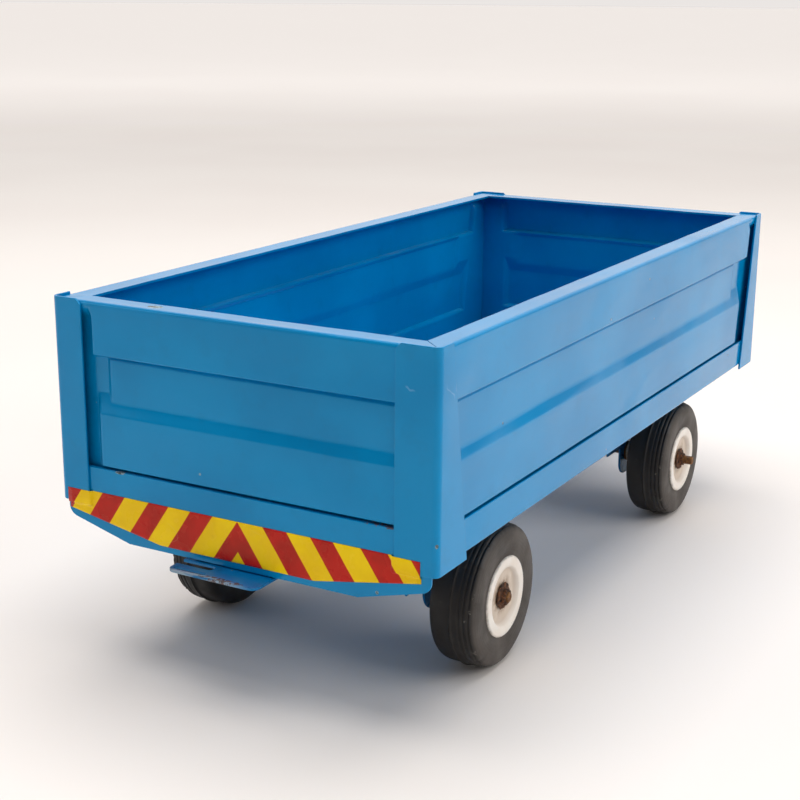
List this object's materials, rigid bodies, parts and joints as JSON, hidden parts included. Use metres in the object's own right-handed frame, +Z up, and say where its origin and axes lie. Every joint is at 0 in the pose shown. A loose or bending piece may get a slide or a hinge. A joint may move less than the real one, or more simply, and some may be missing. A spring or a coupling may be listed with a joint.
{
  "type": "toy farm trailer",
  "caption": "Pressed-steel toy farm trailer with an open ribbed load box, angle corner posts, a striped tail label, rubber-tyred wheels, a steering front bogie and a drawbar with a towing eye.",
  "frame": {"origin": "on the ground, under the middle of the whole trailer from the tow hook's rear edge to the drawbar's tip, on the centreline", "axes": "+X forwards to the drawbar, +Y to the trailer's left, +Z up"},
  "size_m": [0.411, 0.15, 0.1327],
  "materials": {
    "body_paint": "bright mid-blue gloss enamel with small chips and rust at raw edges",
    "chassis_paint": "the same blue enamel, thinner and dirtier underneath",
    "label_film": "printed film with yellow and red chevrons, satin gloss",
    "tyre_rubber": "black rubber with a grey bloom on the sidewalls",
    "hub_plastic": "slightly yellowed white moulded plastic, satin",
    "rusty_caps": "heavily rusted steel",
    "axle_steel": "steel rod with brown rust",
    "plated_steel": "dull zinc plate"
  },
  "bodies": {
    "root": {"channel_rivets": "plated_steel", "chassis_channel": "chassis_paint", "chevron_label": "label_film", "corner_post_front_left": "body_paint", "corner_post_front_right": "body_paint", "corner_post_rear_left": "body_paint", "corner_post_rear_right": "body_paint", "floor_tray": "body_paint", "head_wall": "body_paint", "kingpin": "plated_steel", "rear_axle_carriage": "chassis_paint", "side_wall_left": "body_paint", "side_wall_right": "body_paint", "tail_apron": "body_paint", "tail_wall": "body_paint", "tow_hook": "chassis_paint", "turntable_washer": "plated_steel"},
    "bogie": {"front_bogie": "chassis_paint", "drawbar_clevis": "chassis_paint", "drawbar_pin": "plated_steel"},
    "drawbar_arm": {"drawbar": "chassis_paint"},
    "rear_axle_set": {"rear_axle": "axle_steel", "rear_axle_washers": "axle_steel", "axle_cap_rear_right": "rusty_caps", "axle_cap_rear_left": "rusty_caps"},
    "wheel_rear_right": {"hub_rear_right": "hub_plastic", "tyre_rear_right": "tyre_rubber"},
    "wheel_rear_left": {"hub_rear_left": "hub_plastic", "tyre_rear_left": "tyre_rubber"},
    "front_axle_set": {"front_axle": "axle_steel", "front_axle_washers": "axle_steel", "axle_cap_front_right": "rusty_caps", "axle_cap_front_left": "rusty_caps"},
    "wheel_front_right": {"hub_front_right": "hub_plastic", "tyre_front_right": "tyre_rubber"},
    "wheel_front_left": {"hub_front_left": "hub_plastic", "tyre_front_left": "tyre_rubber"}
  },
  "joints": [
    {"name": "steering", "type": "hinge", "parent": "root", "child": "bogie", "pos_m": [0.06308, 0, 0.0461], "axis": [0, 0, 1], "range_deg": [-45, 45]},
    {"name": "drawbar_lift", "type": "hinge", "parent": "bogie", "child": "drawbar_arm", "pos_m": [0.09308, 0, 0.036], "axis": [0, -1, 0], "range_deg": [0, 35]},
    {"name": "rear_axle_spin", "type": "hinge", "parent": "root", "child": "rear_axle_set", "pos_m": [-0.12442, 0, 0.0265], "axis": [0, 1, 0], "continuous": true},
    {"name": "wheel_rear_right_spin", "type": "hinge", "parent": "rear_axle_set", "child": "wheel_rear_right", "pos_m": [-0.12442, -0.06505, 0.0265], "axis": [0, 1, 0], "continuous": true},
    {"name": "wheel_rear_left_spin", "type": "hinge", "parent": "rear_axle_set", "child": "wheel_rear_left", "pos_m": [-0.12442, 0.06505, 0.0265], "axis": [0, 1, 0], "continuous": true},
    {"name": "front_axle_spin", "type": "hinge", "parent": "bogie", "child": "front_axle_set", "pos_m": [0.06308, 0, 0.0265], "axis": [0, 1, 0], "continuous": true},
    {"name": "wheel_front_right_spin", "type": "hinge", "parent": "front_axle_set", "child": "wheel_front_right", "pos_m": [0.06308, -0.06505, 0.0265], "axis": [0, 1, 0], "continuous": true},
    {"name": "wheel_front_left_spin", "type": "hinge", "parent": "front_axle_set", "child": "wheel_front_left", "pos_m": [0.06308, 0.06505, 0.0265], "axis": [0, 1, 0], "continuous": true}
  ]
}
